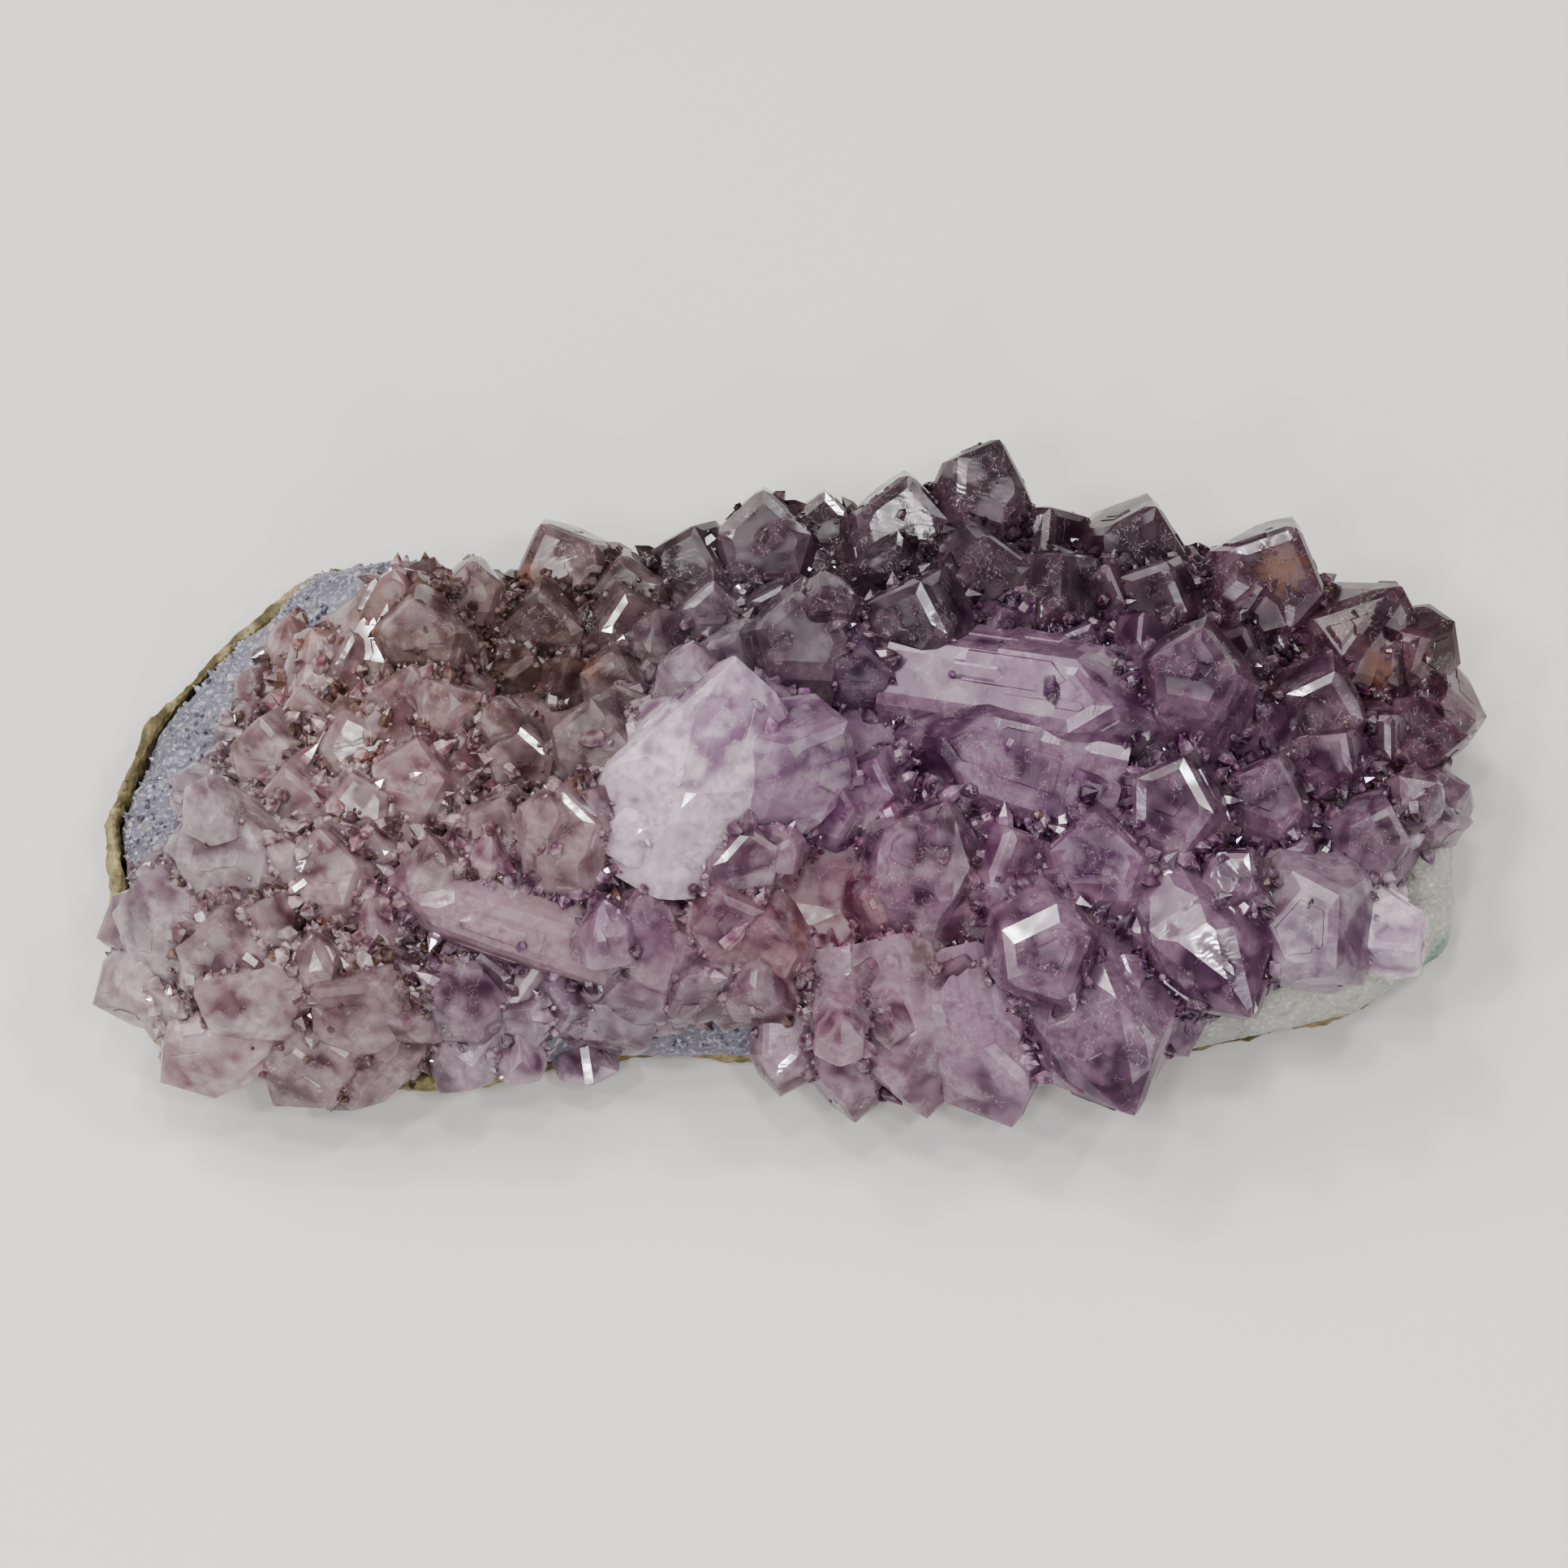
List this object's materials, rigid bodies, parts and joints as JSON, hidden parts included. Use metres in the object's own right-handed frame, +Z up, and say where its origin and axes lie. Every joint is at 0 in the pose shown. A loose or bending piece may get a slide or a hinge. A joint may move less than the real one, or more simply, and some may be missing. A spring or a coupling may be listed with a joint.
{
  "type": "amethyst cluster",
  "caption": "Loose specimen of purple amethyst points crowded on a slab of pale agate with a rough rind, sawn flat underneath to rest on a table.",
  "frame": {"origin": "middle of the underside's bounding box, on the sawn flat face", "axes": "+X along the slab to the picture's right, +Y away from the viewer, +Z up"},
  "size_m": [0.107, 0.0546, 0.0306],
  "materials": {
    "amethyst": "glassy crystal faces, clear rims and cloudy purple cores",
    "agate": "waxy and sugary, pale blue-grey to greenish white",
    "rind": "rough matt tan and olive"
  },
  "bodies": {
    "root": {"amethyst_crystals": "amethyst", "agate_slab": "agate", "rind": "rind"}
  },
  "joints": []
}
